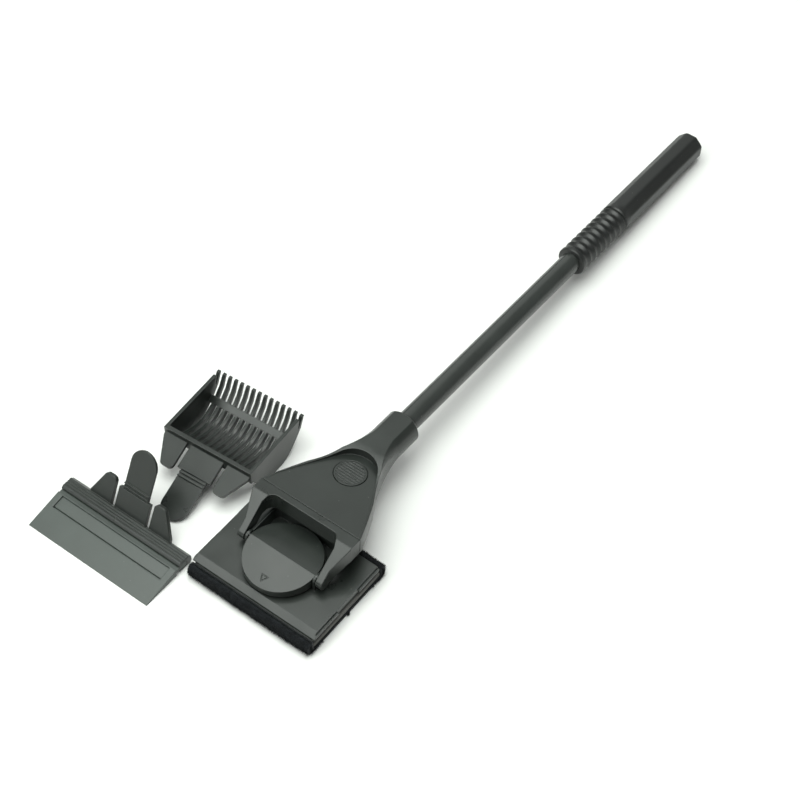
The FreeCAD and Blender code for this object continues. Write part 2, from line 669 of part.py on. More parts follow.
def build_fleece():
    """Fleece wrapped under the foam and up over the carrier's front and back edges."""
    half = size("pad_half")
    front, back, top = size("fleece_front"), size("fleece_back"), size("fleece_top")
    wrap = prism(
        [
            (-front + 2.2, 0), (back - 2.2, 0), (back - 0.4, 1.8), (back, 4.0),
            (back - 1.2, 7.2), (back - 3.2, top), (-front + 3.4, top), (-front + 0.9, 6.8),
            (-front, 3.6), (-front + 0.5, 1.4),
        ],
        "X", 2 * half, -half,
    )
    room = block(
        -half - 1, half + 1, -size("base_front"), size("base_back"), size("foam_low"), 20
    )
    made("fleece_wrap", wrap.cut(room), PAD)


def build_clamps():
    """Two thin strips that pin the fleece's ends to the carrier's edges."""
    strips = []
    top = size("base_low + base_thick")
    wide = size("clamp_wide")
    for edge, sign in ((-size("base_front"), 1), (size("base_back"), -1)):
        low_y, high_y = sorted((edge + sign * 0.4, edge + sign * (0.4 + wide)))
        strips.append(block(
            -size("base_half") + 2, size("base_half") - 2, low_y, high_y, top,
            top + size("clamp_thick"),
        ))
    made("fleece_clamps", Part.makeCompound(strips), PAD)


# ---------------------------------------------------------------- scraper blade
def build_blade():
    """Wedge blade with a sunk window and a round bead along its back that slides in the holder."""
    half, deep, rise = size("blade_half"), size("blade_deep"), size("blade_rise")
    wedge = prism(
        [(0, 0), (deep, 0), (deep, rise), (0, size("edge_thick"))], "X", 2 * half, -half
    )
    slope = (rise - size("edge_thick")) / deep
    front, back = size("blade_pocket_front"), size("blade_pocket_back")
    border = size("blade_border")

    def sunk(start, end, depth):
        heights = [size("edge_thick") + slope * y - depth for y in (start, end)]
        return prism(
            [(start, heights[0]), (end, heights[1]), (end, 20), (start, 20)],
            "X", 2 * (half - border), -half + border,
        )

    wedge = wedge.cut(sunk(front, back, size("window_deep")))
    wedge = wedge.cut(sunk(front, front + size("blade_groove"), size("groove_deep")))
    under = prism(
        [(4.0, -1), (deep - 1.6, -1), (deep - 1.6, rise - 2.9), (4.0, 0.1)],
        "X", 2 * half - 5, -half + 2.5,
    )
    wedge = wedge.cut(under)
    bead_y, bead_z = size("bead_y"), size("bead_z")
    web = block(-half, half, deep - 0.2, bead_y, size("web_low"), size("web_low + web_thick"))
    bead = cylinder(size("bead_radius"), Vector(-half, bead_y, bead_z), Vector(half, bead_y, bead_z))
    made("scraper_blade", wedge.fuse([web, bead]).removeSplitter(), BLADE)


def build_holder():
    """Blade holder: a C-shaped channel with fine ridges on top, carrying the plug-in tongue."""
    half = size("blade_half")
    front, back, top = size("hood_front"), size("hood_back"), size("hood_top")
    hood = prism(
        [(front, 0.6), (back - 1.4, 0), (back, 1.4), (back, 4.4), (back - 2.0, top),
         (front + 1.2, top), (front, top - 1.2)],
        "X", 2 * half, -half,
    )
    gap = size("bead_gap")
    bead_y, bead_z = size("bead_y"), size("bead_z")
    channel = cylinder(
        size("bead_radius") + gap, Vector(-half - 1, bead_y, bead_z),
        Vector(half + 1, bead_y, bead_z),
    )
    mouth = block(
        -half - 1, half + 1, front - 1, bead_y, size("web_low") - gap,
        size("web_low + web_thick") + gap,
    )
    hood = hood.cut(channel).cut(mouth)
    for index in range(3):
        groove_y = front + 2.4 + index * 1.5
        hood = hood.cut(block(-half - 1, half + 1, groove_y, groove_y + 0.5, top - 0.35, top + 1))
    plug = tongue()
    plug.translate(Vector(0, 2.0, 0))
    plug.rotate(Vector(0, 0, 0), Vector(1, 0, 0), size("blade_tongue_angle"))
    plug.translate(Vector(0, size("blade_tongue_y"), size("blade_tongue_z")))
    keep_out = channel.fuse(block(-50, 50, 0, bead_y, -5, 6))
    made("blade_holder", hood.fuse(plug.cut(keep_out)).removeSplitter(), BLADE)


# ---------------------------------------------------------------- plant rake
RAKE_BELLY = [
    (0.0, 16.8), (1.4, 12.0), (4.0, 8.0), (8.0, 5.2), (12.5, 3.0), (19.3, 0.6), (25.0, 0.0),
    (29.5, 0.9), (34.0, 3.6), (39.6, 8.6), (43.5, 13.0), (46.7, 20.0),
]


def build_rake():
    """Scoop-shaped rake: closed cheeks, tines along the belly and up the back, one tie bar."""
    half, cheek, top = size("rake_half"), size("cheek_thick"), size("rake_top")
    inner = [
        (45.2, 20.0), (41.6, 14.2), (37.4, 9.8), (32.4, 6.4), (28.0, 4.4), (24.6, 3.6),
        (20.0, 4.0), (13.6, 6.2), (9.2, 8.2), (6.2, 10.8), (3.6, 14.4), (2.4, 17.4),
    ]
    band = prism(RAKE_BELLY + inner, "X", 2 * half, -half)
    slots = []
    gap = size("tine_gap")
    count = int(size("tine_count")) - 1
    step = (2 * (half - cheek) - gap) / (count - 1)
    for index in range(count):
        left = -half + cheek + index * step
        slots.append(block(left, left + gap, 2.4, 60, -5, 40))
    tines = band.cut(slots)
    cheeks = []
    for sign in (-1, 1):
        a, _ = sorted((sign * half, sign * (half - cheek)))
        cheeks.append(prism([(0.0, top)] + RAKE_BELLY[:-2] + [(42.6, top)], "X", cheek, a))
    bar = block(-half, half, 0, size("bar_deep"), top - size("bar_drop"), top)
    tie = prism(
        [(35.2, 5.0), (38.6, 8.0), (37.0, 9.9), (33.8, 7.2)], "X", 2 * half, -half
    )
    plug = tongue()
    plug.rotate(Vector(0, 0, 0), Vector(0, 0, 1), 180)
    plug.translate(Vector(0, -1.6, 0))
    plug.rotate(Vector(0, 0, 0), Vector(1, 0, 0), size("rake_tongue_angle"))
    plug.translate(Vector(0, 0.6, size("rake_tongue_z")))
    rake = tines.fuse(cheeks + [bar, tie, plug])
    made("rake", rake, RAKE)


build_tube()
build_plug("tube_plug_head", "tube_start - plug_flange", "tube_start")
build_plug("tube_plug_grip", "tube_end", "tube_end - plug_shank")
build_grip()
build_head()
build_screws()
build_button()
build_fork()
build_cover()
build_pins()
build_disc()
build_disc_spring()
build_base()
build_foam()
build_fleece()
build_clamps()
build_blade()
build_holder()
build_rake()

doc.recompute()
failed = [o.Label for o in doc.Objects if {"Invalid", "Error"} & set(o.State)]
failed += [p.Label for p in PARTS if p.Shape.isNull() or not p.Shape.isValid()]
if failed:
    raise RuntimeError(f"These objects failed: {failed}")
os.makedirs("parts", exist_ok=True)
for part in PARTS:
    part.Shape.exportStep(f"parts/{part.Label}.step")
    box = part.Shape.BoundBox
    print(f"{part.Label:18s} solids {len(part.Shape.Solids)} volume {part.Shape.Volume:9.1f}"
          f" x {box.XMin:7.2f} {box.XMax:7.2f} y {box.YMin:8.2f} {box.YMax:8.2f}"
          f" z {box.ZMin:6.2f} {box.ZMax:6.2f}")
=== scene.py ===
"""Looks of the algae scraper set: moulded plastic, coated tube, fleece pad, foam and bright steel.

Lengths are in metres.  Every piece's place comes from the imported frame; +Z is up, +Y runs to the
grip.
"""

import logging
import math
from dataclasses import dataclass, field
from enum import Enum

import bmesh
import bpy
import numpy as np
from mathutils import Matrix, Vector


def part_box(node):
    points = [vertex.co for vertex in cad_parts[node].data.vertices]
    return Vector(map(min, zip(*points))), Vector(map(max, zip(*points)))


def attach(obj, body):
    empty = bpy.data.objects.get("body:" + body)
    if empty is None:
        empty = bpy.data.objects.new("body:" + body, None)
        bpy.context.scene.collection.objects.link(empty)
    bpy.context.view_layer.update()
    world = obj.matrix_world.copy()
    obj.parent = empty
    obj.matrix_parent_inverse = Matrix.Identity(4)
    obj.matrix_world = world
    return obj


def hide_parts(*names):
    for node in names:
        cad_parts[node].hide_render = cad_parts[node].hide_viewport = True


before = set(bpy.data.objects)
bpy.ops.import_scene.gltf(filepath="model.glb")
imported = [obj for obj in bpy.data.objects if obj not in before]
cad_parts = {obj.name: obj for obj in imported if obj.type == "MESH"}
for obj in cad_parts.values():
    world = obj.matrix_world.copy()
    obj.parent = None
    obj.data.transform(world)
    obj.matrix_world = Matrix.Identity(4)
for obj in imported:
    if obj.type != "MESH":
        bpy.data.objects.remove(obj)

LOG = logging.getLogger("scraper")
MM = 0.001
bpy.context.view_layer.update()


class Body(Enum):
    """The rigid bodies that pieces ride on."""

    HANDLE = "handle"
    BUTTON = "button"
    FORK = "fork"
    PAD = "pad"
    DISC = "disc"
    SOLE = "sole"
    BLADE_HEAD = "blade_head"
    BLADE = "blade"
    RAKE = "rake"


class Slot(Enum):
    """The record's material slots."""

    PLASTIC = "black_plastic"
    GRIP = "grip_plastic"
    TUBE = "coated_tube"
    BLADE = "blade_plastic"
    FLEECE = "fleece"
    FOAM = "foam"
    STEEL = "steel"


# ------------------------------------------------------------------ shared effects
# A range is where a mask starts and where it is full, in the units of the value it reads.
WHITE = (1.0, 1.0, 1.0, 1.0)
FINE_DETAIL, BROAD_DETAIL = 3.0, 4.0
CLOUD_RANGE = (0.3, 0.7)
TURN_RANGE = (0.01, 0.16)
BREAKUP_RANGE = (0.3, 0.65)
SPECK_RANGE = (0.16, 0.06)
SPECK_CUT = 0.93
BEVEL_SAMPLES = 6

# What a maths node takes: another node's output, or a plain number.
Operand = bpy.types.NodeSocket | float


def new_group(name: str, inputs: dict[str, float], outputs: dict[str, str]) -> bpy.types.NodeTree:
    """An empty shader node group.

    Args:
        name: the group's name.
        inputs: each float input's name and default.
        outputs: each output's name and socket type.

    Returns:
        The group, with its input and output nodes in place.
    """
    group = bpy.data.node_groups.new(name, "ShaderNodeTree")
    for label, value in inputs.items():
        socket = group.interface.new_socket(label, in_out="INPUT", socket_type="NodeSocketFloat")
        socket.default_value = value
    for label, kind in outputs.items():
        group.interface.new_socket(label, in_out="OUTPUT", socket_type=kind)
    group.nodes.new("NodeGroupInput")
    group.nodes.new("NodeGroupOutput")
    return group


def ends_of(group: bpy.types.NodeTree) -> tuple[bpy.types.Node, bpy.types.Node]:
    """The group's input node and output node."""
    return group.nodes["Group Input"], group.nodes["Group Output"]


def maths(
    tree: bpy.types.NodeTree, operation: str, first: Operand, second: Operand
) -> bpy.types.NodeSocket:
    """A Math node; each operand is a socket or a number.

    Returns:
        The node's result socket.
    """
    node = tree.nodes.new("ShaderNodeMath")
    node.operation = operation
    for socket, value in zip(node.inputs, (first, second)):
        if isinstance(value, bpy.types.NodeSocket):
            tree.links.new(value, socket)
        else:
            socket.default_value = value
    return node.outputs[0]


def noise(
    tree: bpy.types.NodeTree, where: bpy.types.NodeSocket, scale: bpy.types.NodeSocket,
    detail: float,
) -> bpy.types.NodeSocket:
    """A Noise texture read at a position socket.

    Returns:
        The node's factor socket.
    """
    node = tree.nodes.new("ShaderNodeTexNoise")
    tree.links.new(where, node.inputs["Vector"])
    tree.links.new(scale, node.inputs["Scale"])
    node.inputs["Detail"].default_value = detail
    return node.outputs["Fac"]


def ramp(
    tree: bpy.types.NodeTree, value: bpy.types.NodeSocket, low: float, high: float
) -> bpy.types.NodeSocket:
    """Maps a value from low..high to 0..1, clamped.

    Returns:
        The result socket.
    """
    node = tree.nodes.new("ShaderNodeMapRange")
    node.inputs["From Min"].default_value = low
    node.inputs["From Max"].default_value = high
    tree.links.new(value, node.inputs["Value"])
    return node.outputs["Result"]


def build_grain_group() -> bpy.types.NodeTree:
    """Spark-eroded mould texture: fine grain for the bump, broad cloudiness for colour and gloss."""
    group = new_group(
        "mould_grain", {"Grain Scale": 2600.0, "Cloud Scale": 45.0},
        {"Height": "NodeSocketFloat", "Cloud": "NodeSocketFloat"},
    )
    source, sink = ends_of(group)
    where = group.nodes.new("ShaderNodeTexCoord").outputs["Object"]
    fine = noise(group, where, source.outputs["Grain Scale"], FINE_DETAIL)
    broad = noise(group, where, source.outputs["Cloud Scale"], BROAD_DETAIL)
    group.links.new(fine, sink.inputs["Height"])
    group.links.new(ramp(group, broad, *CLOUD_RANGE), sink.inputs["Cloud"])
    return group


def build_wear_group() -> bpy.types.NodeTree:
    """Edge wear: a normal rounded over the edges, and how far it turns, broken up by noise."""
    group = new_group(
        "edge_wear", {"Breakup Scale": 300.0, "Radius": 0.5 * MM},
        {"Mask": "NodeSocketFloat", "Rounded": "NodeSocketVector"},
    )
    source, sink = ends_of(group)
    bevel = group.nodes.new("ShaderNodeBevel")
    bevel.samples = BEVEL_SAMPLES
    group.links.new(source.outputs["Radius"], bevel.inputs["Radius"])
    geometry = group.nodes.new("ShaderNodeNewGeometry")
    dot = group.nodes.new("ShaderNodeVectorMath")
    dot.operation = "DOT_PRODUCT"
    group.links.new(bevel.outputs["Normal"], dot.inputs[0])
    group.links.new(geometry.outputs["Normal"], dot.inputs[1])
    turned = maths(group, "SUBTRACT", 1.0, dot.outputs["Value"])
    where = group.nodes.new("ShaderNodeTexCoord").outputs["Object"]
    broken = noise(group, where, source.outputs["Breakup Scale"], FINE_DETAIL)
    mask = maths(
        group, "MULTIPLY", ramp(group, turned, *TURN_RANGE), ramp(group, broken, *BREAKUP_RANGE)
    )
    group.links.new(mask, sink.inputs["Mask"])
    group.links.new(bevel.outputs["Normal"], sink.inputs["Rounded"])
    return group


def build_lint_group() -> bpy.types.NodeTree:
    """Sparse specks of pale dust, in about one Voronoi cell in fourteen."""
    group = new_group("lint", {"Speck Scale": 420.0}, {"Mask": "NodeSocketFloat"})
    source, sink = ends_of(group)
    where = group.nodes.new("ShaderNodeTexCoord").outputs["Object"]
    cells = group.nodes.new("ShaderNodeTexVoronoi")
    group.links.new(where, cells.inputs["Vector"])
    group.links.new(source.outputs["Speck Scale"], cells.inputs["Scale"])
    near = ramp(group, cells.outputs["Distance"], *SPECK_RANGE)
    split = group.nodes.new("ShaderNodeSeparateColor")
    group.links.new(cells.outputs["Color"], split.inputs["Color"])
    chosen = maths(group, "GREATER_THAN", split.outputs["Red"], SPECK_CUT)
    group.links.new(maths(group, "MULTIPLY", near, chosen), sink.inputs["Mask"])
    return group


@dataclass
class Effects:
    """The node groups that more than one finish uses."""

    grain: bpy.types.NodeTree = field(default_factory=build_grain_group)
    wear: bpy.types.NodeTree = field(default_factory=build_wear_group)
    lint: bpy.types.NodeTree = field(default_factory=build_lint_group)

    def place(
        self, tree: bpy.types.NodeTree, group: bpy.types.NodeTree, **values: float
    ) -> bpy.types.Node:
        """Puts a group in a material's tree and sets its inputs.

        Returns:
            The group node.
        """
        node = tree.nodes.new("ShaderNodeGroup")
        node.node_tree = group
        for label, value in values.items():
            node.inputs[label.replace("_", " ")].default_value = value
        return node


def mix_colour(
    tree: bpy.types.NodeTree, mask: bpy.types.NodeSocket,
    first: bpy.types.NodeSocket | tuple[float, float, float],
    second: bpy.types.NodeSocket | tuple[float, float, float],
) -> bpy.types.NodeSocket:
    """Mixes two colours by a mask; each colour is a socket or an RGB triple.

    Returns:
        The mixed colour's socket.
    """
    node = tree.nodes.new("ShaderNodeMix")
    node.data_type = "RGBA"
    tree.links.new(mask, node.inputs[0])
    for socket, value in ((node.inputs[6], first), (node.inputs[7], second)):
        if isinstance(value, bpy.types.NodeSocket):
            tree.links.new(value, socket)
        else:
            socket.default_value = (*value, 1.0)
    return node.outputs[2]


def blank_material(name: str) -> tuple[bpy.types.Material, bpy.types.Node]:
    """A new node material and its Principled shader."""
    material = bpy.data.materials.new(name)
    material.use_nodes = True
    return material, material.node_tree.nodes["Principled BSDF"]


def add_bump(
    tree: bpy.types.NodeTree, shader: bpy.types.Node, height: bpy.types.NodeSocket,
    distance: float, strength: float, normal: bpy.types.NodeSocket | None = None,
) -> None:
    """A Bump node from a height socket to the shader's normal.

    Args:
        tree: the material's node tree.
        shader: the Principled shader.
        height: the socket that gives the height.
        distance: the height of a full step, in metres.
        strength: how much of the step shows.
        normal: a normal socket to start from, or nothing for the surface's own.
    """
    bump = tree.nodes.new("ShaderNodeBump")
    bump.inputs["Distance"].default_value = distance
    bump.inputs["Strength"].default_value = strength
    tree.links.new(height, bump.inputs["Height"])
    if normal is not None:
        tree.links.new(normal, bump.inputs["Normal"])
    tree.links.new(bump.outputs["Normal"], shader.inputs["Normal"])


# ------------------------------------------------------------------ finishes
@dataclass(frozen=True)
class PlasticFinish:
    """Satin moulded plastic: grain, cloudy gloss, worn edges and a little lint."""

    name: str
    colour: tuple[float, float, float]
    worn: tuple[float, float, float] = (0.11, 0.118, 0.113)
    smooth: float = 0.27
    rough: float = 0.37
    grain: float = 0.2
    wear: float = 0.3
    lint: float = 0.12
    rounding: float = 0.55 * MM
    cloud_lift: float = 1.3
    dust: tuple[float, float, float] = (0.4, 0.4, 0.38)
    grain_high: float = 0.04 * MM

    def make(self, effects: Effects) -> bpy.types.Material:
        """Builds the material."""
        material, shader = blank_material(self.name)
        tree = material.node_tree
        grain = effects.place(tree, effects.grain)
        wear = effects.place(tree, effects.wear, Radius=self.rounding)
        lint = effects.place(tree, effects.lint)
        lighter = tuple(channel * self.cloud_lift for channel in self.colour)
        base = mix_colour(tree, grain.outputs["Cloud"], self.colour, lighter)
        edge = maths(tree, "MULTIPLY", wear.outputs["Mask"], self.wear)
        base = mix_colour(tree, edge, base, self.worn)
        dusty = maths(tree, "MULTIPLY", lint.outputs["Mask"], self.lint)
        base = mix_colour(tree, dusty, base, self.dust)
        tree.links.new(base, shader.inputs["Base Color"])
        span = maths(tree, "MULTIPLY", grain.outputs["Cloud"], self.rough - self.smooth)
        tree.links.new(maths(tree, "ADD", span, self.smooth), shader.inputs["Roughness"])
        add_bump(
            tree, shader, grain.outputs["Height"], self.grain_high, self.grain,
            wear.outputs["Rounded"],
        )
        return material


@dataclass(frozen=True)
class SteelFinish:
    """Plain drawn steel with fine, uneven polish."""

    name: str = "drawn_steel"
    colour: tuple[float, float, float] = (0.56, 0.56, 0.57)
    grain_scale: float = 5000.0
    cloud_scale: float = 400.0
    dulling: float = 0.7
    smooth: float = 0.22
    rough_span: float = 0.2
    grain_high: float = 0.01 * MM
    grain: float = 0.2

    def make(self, effects: Effects) -> bpy.types.Material:
        """Builds the material."""
        material, shader = blank_material(self.name)
        tree = material.node_tree
        grain = effects.place(
            tree, effects.grain, Grain_Scale=self.grain_scale, Cloud_Scale=self.cloud_scale
        )
        dull = tuple(channel * self.dulling for channel in self.colour)
        tree.links.new(
            mix_colour(tree, grain.outputs["Cloud"], self.colour, dull), shader.inputs["Base Color"]
        )
        shader.inputs["Metallic"].default_value = 1.0
        span = maths(tree, "MULTIPLY", grain.outputs["Cloud"], self.rough_span)
        tree.links.new(maths(tree, "ADD", span, self.smooth), shader.inputs["Roughness"])
        add_bump(tree, shader, grain.outputs["Height"], self.grain_high, self.grain)
        return material


@dataclass(frozen=True)
class FoamFinish:
    """Closed-cell foam: soft grey-brown skin with small cells, their pits darkened with painted
    shade.
    """

    name: str = "cell_foam"
    colour: tuple[float, float, float] = (0.12, 0.118, 0.11)
    cloudy: tuple[float, float, float] = (0.15, 0.148, 0.138)
    cell_scale: float = 2200.0
    cloud_scale: float = 160.0
    painted_pit_shade: float = 0.6
    wall_range: tuple[float, float] = (0.1, 0.6)
    patchiness: float = 0.3
    rough: float = 0.82
    cell_high: float = 0.08 * MM
    bump: float = 0.3

    def make(self, effects: Effects) -> bpy.types.Material:
        """Builds the material."""
        material, shader = blank_material(self.name)
        tree = material.node_tree
        where = tree.nodes.new("ShaderNodeTexCoord").outputs["Object"]
        cells = tree.nodes.new("ShaderNodeTexVoronoi")
        cells.inputs["Scale"].default_value = self.cell_scale
        tree.links.new(where, cells.inputs["Vector"])
        grain = effects.place(tree, effects.grain, Cloud_Scale=self.cloud_scale)
        # painted shade: the colour darkens towards each cell's middle, where the bump sinks into a
        # pit, and is full at the walls between cells
        pit_shade_colour = tuple(channel * self.painted_pit_shade for channel in self.colour)
        shade_free_walls = ramp(tree, cells.outputs["Distance"], *self.wall_range)
        base = mix_colour(tree, shade_free_walls, pit_shade_colour, self.colour)
        patchy = maths(tree, "MULTIPLY", grain.outputs["Cloud"], self.patchiness)
        base = mix_colour(tree, patchy, base, self.cloudy)
        tree.links.new(base, shader.inputs["Base Color"])
        shader.inputs["Roughness"].default_value = self.rough
        add_bump(tree, shader, cells.outputs["Distance"], self.cell_high, self.bump)
        return material


@dataclass(frozen=True)
class FleeceFinish:
    """Short black pile with a faint blue cast and a soft sheen."""

    name: str = "black_fleece"
    colour: tuple[float, float, float] = (0.005, 0.006, 0.007)
    pale: tuple[float, float, float] = (0.016, 0.0185, 0.021)
    dust: tuple[float, float, float] = (0.2, 0.2, 0.21)
    lint: float = 0.12
    tuft_scale: float = 1500.0
    cloud_scale: float = 380.0
    speck_scale: float = 900.0
    rough: float = 0.95
    gloss: float = 0.15
    sheen: float = 0.1
    sheen_rough: float = 0.5
    tuft_high: float = 0.5 * MM
    bump: float = 0.8

    def make(self, effects: Effects) -> bpy.types.Material:
        """Builds the material."""
        material, shader = blank_material(self.name)
        tree = material.node_tree
        tufts = effects.place(
            tree, effects.grain, Grain_Scale=self.tuft_scale, Cloud_Scale=self.cloud_scale
        )
        base = mix_colour(tree, tufts.outputs["Cloud"], self.colour, self.pale)
        lint = effects.place(tree, effects.lint, Speck_Scale=self.speck_scale)
        dusty = maths(tree, "MULTIPLY", lint.outputs["Mask"], self.lint)
        tree.links.new(mix_colour(tree, dusty, base, self.dust), shader.inputs["Base Color"])
        shader.inputs["Roughness"].default_value = self.rough
        shader.inputs["Specular IOR Level"].default_value = self.gloss
        shader.inputs["Sheen Weight"].default_value = self.sheen
        shader.inputs["Sheen Roughness"].default_value = self.sheen_rough
        add_bump(tree, shader, tufts.outputs["Height"], self.tuft_high, self.bump)
        return material


class Finishes:
    """Every finish of the set, built once, by record slot."""

    def __init__(self) -> None:
        """Builds the shared effects and then each material."""
        effects = Effects()
        self.by_slot: dict[Slot, bpy.types.Material] = {
            Slot.PLASTIC: PlasticFinish("black_moulding", (0.0145, 0.0176, 0.0155)).make(effects),
            Slot.GRIP: PlasticFinish(
                "grip_moulding", (0.0085, 0.0096, 0.009), smooth=0.36, rough=0.46, grain=0.3
            ).make(effects),
            Slot.TUBE: PlasticFinish(
                "tube_coating", (0.024, 0.027, 0.025), smooth=0.2, rough=0.27, grain=0.05
            ).make(effects),
            Slot.BLADE: PlasticFinish(
                "blade_moulding", (0.042, 0.051, 0.046), smooth=0.32, rough=0.4, grain=0.12
            ).make(effects),
            Slot.FLEECE: FleeceFinish().make(effects),
            Slot.FOAM: FoamFinish().make(effects),
            Slot.STEEL: SteelFinish().make(effects),
        }


# ------------------------------------------------------------------ mesh helpers
def grid_faces(rows: int, columns: int, wrap: bool) -> np.ndarray:
    """Quads of a grid of points in row order, each row joined round to its start when wrap is true.

    Returns:
        An array of four indices per quad.
    """
    row = np.arange(rows - 1)[:, None]
    column = np.arange(columns if wrap else columns - 1)[None, :]
    following = (column + 1) % columns
    quads = np.stack([
        row * columns + column, row * columns + following,
        (row + 1) * columns + following, (row + 1) * columns + column,
    ], -1)
    return quads.reshape(-1, 4)


def solid(name: str, points: np.ndarray, faces: list[list[int]]) -> bpy.types.Object:
    """A smooth-shaded object from points and faces, with its faces turned outwards."""
    mesh = bpy.data.meshes.new(name)
    mesh.from_pydata(points.tolist(), [], faces)
    piece = bpy.data.objects.new(name, mesh)
    bpy.context.scene.collection.objects.link(piece)
    shell = bmesh.new()
    shell.from_mesh(mesh)
    bmesh.ops.recalc_face_normals(shell, faces=shell.faces)
    shell.to_mesh(mesh)
    shell.free()
    mesh.shade_smooth()
    return piece


def closed_skin(name: str, rings: np.ndarray) -> bpy.types.Object:
    """A closed solid from rings of points, each end filled by a fan to the ring's middle.

    Args:
        name: the piece's name.
        rings: points by ring, then round the ring, then x, y, z.

    Returns:
        The new object, with its faces outwards.
    """
    count, around, _ = rings.shape
    points = np.concatenate([rings.reshape(-1, 3), rings[0].mean(0)[None], rings[-1].mean(0)[None]])
    step = np.arange(around)
    following = (step + 1) % around
    first, last = count * around, count * around + 1
    low = np.stack([np.full(around, first), following, step], -1)
    high = np.stack([np.full(around, last), step, following], -1) + np.array([0, 1, 1]) * (
        (count - 1) * around
    )
    faces = grid_faces(count, around, True).tolist() + low.tolist() + high.tolist()
    return solid(name, points, faces)


def thick_sheet(name: str, outer: np.ndarray, inner: np.ndarray) -> bpy.types.Object:
    """A closed sheet with thickness: two grids of points of one shape, joined round their rims.

    Args:
        name: the piece's name.
        outer: points of the outside, by row, then column, then x, y, z.
        inner: points of the inside, in the same order.

    Returns:
        The new object, with its faces outwards.  Its first faces are the outside's.
    """
    rows, columns, _ = outer.shape
    index = np.arange(rows * columns).reshape(rows, columns)
    rim = np.concatenate([index[0, :-1], index[:-1, -1], index[-1, :0:-1], index[:0:-1, 0]])
    following = np.roll(rim, -1)
    sheet = grid_faces(rows, columns, False)
    faces = np.concatenate([
        sheet, sheet[:, ::-1] + index.size,
        np.stack([rim, following, following + index.size, rim + index.size], -1),
    ])
    return solid(name, np.concatenate([outer.reshape(-1, 3), inner.reshape(-1, 3)]), faces.tolist())


def dress(piece: bpy.types.Object, slot: Slot, finishes: Finishes, body: Body, *nodes: str) -> None:
    """Gives a new piece its material and its body, and hides the CAD nodes it stands for."""
    piece.data.materials.clear()
    piece.data.materials.append(finishes.by_slot[slot])
    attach(piece, body.value)
    if nodes:
        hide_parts(*nodes)
    LOG.info("%s rides on %s, %d faces", piece.name, body.value, len(piece.data.polygons))


@dataclass
class Moulding:
    """A hard part: a merged copy of its CAD node with softly rounded edges."""

    node: str
    body: Body
    slot: Slot = Slot.PLASTIC
    edge: float = 0.22 * MM
    sharp: float = math.radians(28)
    join: float = 0.002 * MM
    flat: float = math.radians(0.5)
    segments: int = 2

    def build(self, finishes: Finishes) -> bpy.types.Object:
        """Copies the node, joins its loose triangles, bevels the edges and dresses it."""
        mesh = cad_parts[self.node].data.copy()
        shape = bmesh.new()
        shape.from_mesh(mesh)
        bmesh.ops.remove_doubles(shape, verts=shape.verts, dist=self.join)
        bmesh.ops.dissolve_limit(
            shape, angle_limit=self.flat, verts=shape.verts, edges=shape.edges, delimit=set(),
        )
        shape.to_mesh(mesh)
        shape.free()
        if "custom_normal" in mesh.attributes:
            mesh.attributes.remove(mesh.attributes["custom_normal"])
        piece = bpy.data.objects.new(f"{self.node}_moulding", mesh)
        bpy.context.scene.collection.objects.link(piece)
        mesh.shade_smooth()
        mesh.set_sharp_from_angle(angle=self.sharp)
        bevel = piece.modifiers.new("rounded_edges", "BEVEL")
        bevel.width = self.edge
        bevel.segments = self.segments
        bevel.limit_method = "ANGLE"
        bevel.angle_limit = self.sharp
        bevel.use_clamp_overlap = True
        bevel.harden_normals = True
        level = piece.modifiers.new("level_faces", "WEIGHTED_NORMAL")
        level.keep_sharp = True
        dress(piece, self.slot, finishes, self.body, self.node)
        return piece


